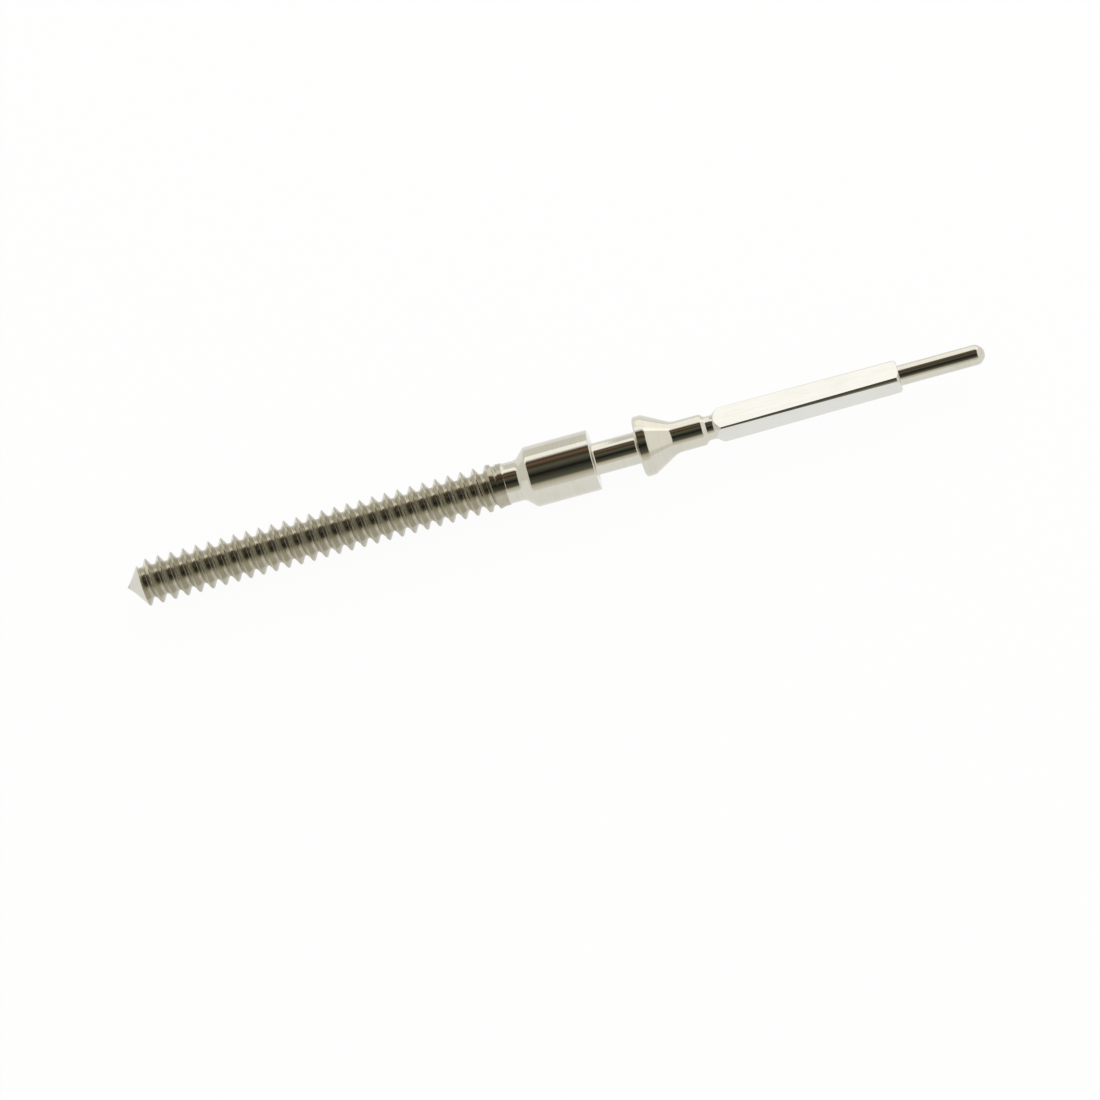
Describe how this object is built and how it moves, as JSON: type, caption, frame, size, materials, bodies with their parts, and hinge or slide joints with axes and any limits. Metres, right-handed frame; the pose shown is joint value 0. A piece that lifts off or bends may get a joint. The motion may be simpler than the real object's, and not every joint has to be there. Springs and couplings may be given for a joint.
{
  "type": "watch winding stem",
  "caption": "Watch winding stem: threaded crown end, plate bearing, lever slot with coned flange, pinion seat, clutch square and round inner pivot.",
  "frame": {"origin": "on the stem's axis, at the sharp inner edge of the plate bearing, where the setting lever's slot begins", "axes": "+X along the axis from the crown's thread to the inner pivot; +Z normal to one flat of the clutch square, and +Y normal to the next"},
  "size_m": [0.017, 0.0012, 0.0012],
  "materials": {
    "steel": "turned and polished bright"
  },
  "bodies": {
    "root": {"winding_stem": "steel"}
  },
  "joints": []
}
